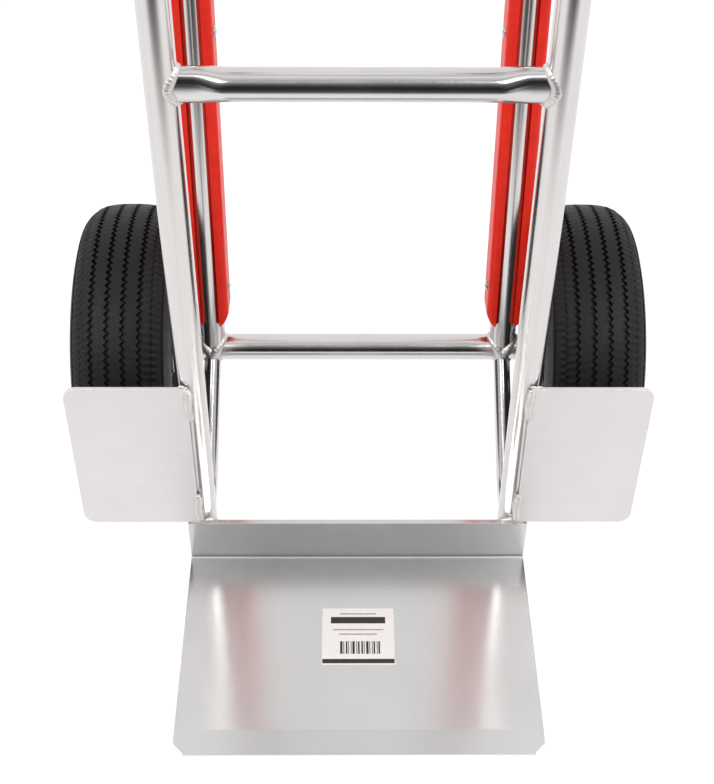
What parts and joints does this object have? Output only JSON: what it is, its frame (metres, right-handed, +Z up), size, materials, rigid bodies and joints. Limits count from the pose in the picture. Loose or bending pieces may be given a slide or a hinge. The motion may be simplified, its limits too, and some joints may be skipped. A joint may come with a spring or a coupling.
{
  "type": "hand truck",
  "caption": "Upright two-wheel hand truck with a welded tube frame, bent toe plate, stair glides, wheel guards, rear-facing grips and free-rolling pneumatic wheels.",
  "frame": {"origin": "middle of the truck's footprint, on the ground", "axes": "+Z up, +X to the right and along the axle, -Y the load side with the toe plate, +Y the wheels and grips"},
  "size_m": [0.4914, 0.4798, 1.1109],
  "materials": {
    "aluminium_tube": "satin drawn tube",
    "aluminium_plate": "rolled sheet, fine grain",
    "glide_plastic": "moulded, semi-gloss red",
    "grip_plastic": "moulded, fine texture",
    "tyre_rubber": "moulded tread",
    "butyl_rubber": "matte",
    "rim_paint": "black powder coat",
    "plated_steel": "zinc plated"
  },
  "bodies": {
    "frame": {"axle": "plated_steel", "axle_crossbar": "aluminium_tube", "left_axle_spacer": "plated_steel", "left_front_tube": "aluminium_tube", "left_glide_tube": "aluminium_tube", "left_grip": "grip_plastic", "left_inner_washer": "plated_steel", "left_lower_brace": "aluminium_tube", "left_outer_washer": "plated_steel", "left_slider_rivet_1": "plated_steel", "left_slider_rivet_2": "plated_steel", "left_slider_rivet_3": "plated_steel", "left_split_pin": "plated_steel", "left_stair_slider": "glide_plastic", "left_wheel_guard": "aluminium_plate", "lower_load_bar": "aluminium_tube", "middle_load_bar": "aluminium_tube", "right_axle_spacer": "plated_steel", "right_front_tube": "aluminium_tube", "right_glide_tube": "aluminium_tube", "right_grip": "grip_plastic", "right_inner_washer": "plated_steel", "right_lower_brace": "aluminium_tube", "right_outer_washer": "plated_steel", "right_slider_rivet_1": "plated_steel", "right_slider_rivet_2": "plated_steel", "right_slider_rivet_3": "plated_steel", "right_split_pin": "plated_steel", "right_stair_slider": "glide_plastic", "right_wheel_guard": "aluminium_plate", "toe_plate": "aluminium_plate", "upper_load_bar": "aluminium_tube"},
    "left_wheel": {"left_tyre": "tyre_rubber", "left_inner_tube": "butyl_rubber", "left_rim_inner": "rim_paint", "left_rim_outer": "rim_paint", "left_bearing_inner": "plated_steel", "left_bearing_outer": "plated_steel", "left_valve": "butyl_rubber", "left_rim_bolt_1": "plated_steel", "left_rim_bolt_2": "plated_steel", "left_rim_bolt_3": "plated_steel", "left_rim_bolt_4": "plated_steel"},
    "right_wheel": {"right_tyre": "tyre_rubber", "right_inner_tube": "butyl_rubber", "right_rim_inner": "rim_paint", "right_rim_outer": "rim_paint", "right_bearing_inner": "plated_steel", "right_bearing_outer": "plated_steel", "right_valve": "butyl_rubber", "right_rim_bolt_1": "plated_steel", "right_rim_bolt_2": "plated_steel", "right_rim_bolt_3": "plated_steel", "right_rim_bolt_4": "plated_steel"}
  },
  "joints": [
    {"name": "left_wheel_spin", "type": "hinge", "parent": "frame", "child": "left_wheel", "pos_m": [-0.2024, 0.1099, 0.13], "axis": [1, 0, 0], "continuous": true},
    {"name": "right_wheel_spin", "type": "hinge", "parent": "frame", "child": "right_wheel", "pos_m": [0.2024, 0.1099, 0.13], "axis": [1, 0, 0], "continuous": true}
  ]
}
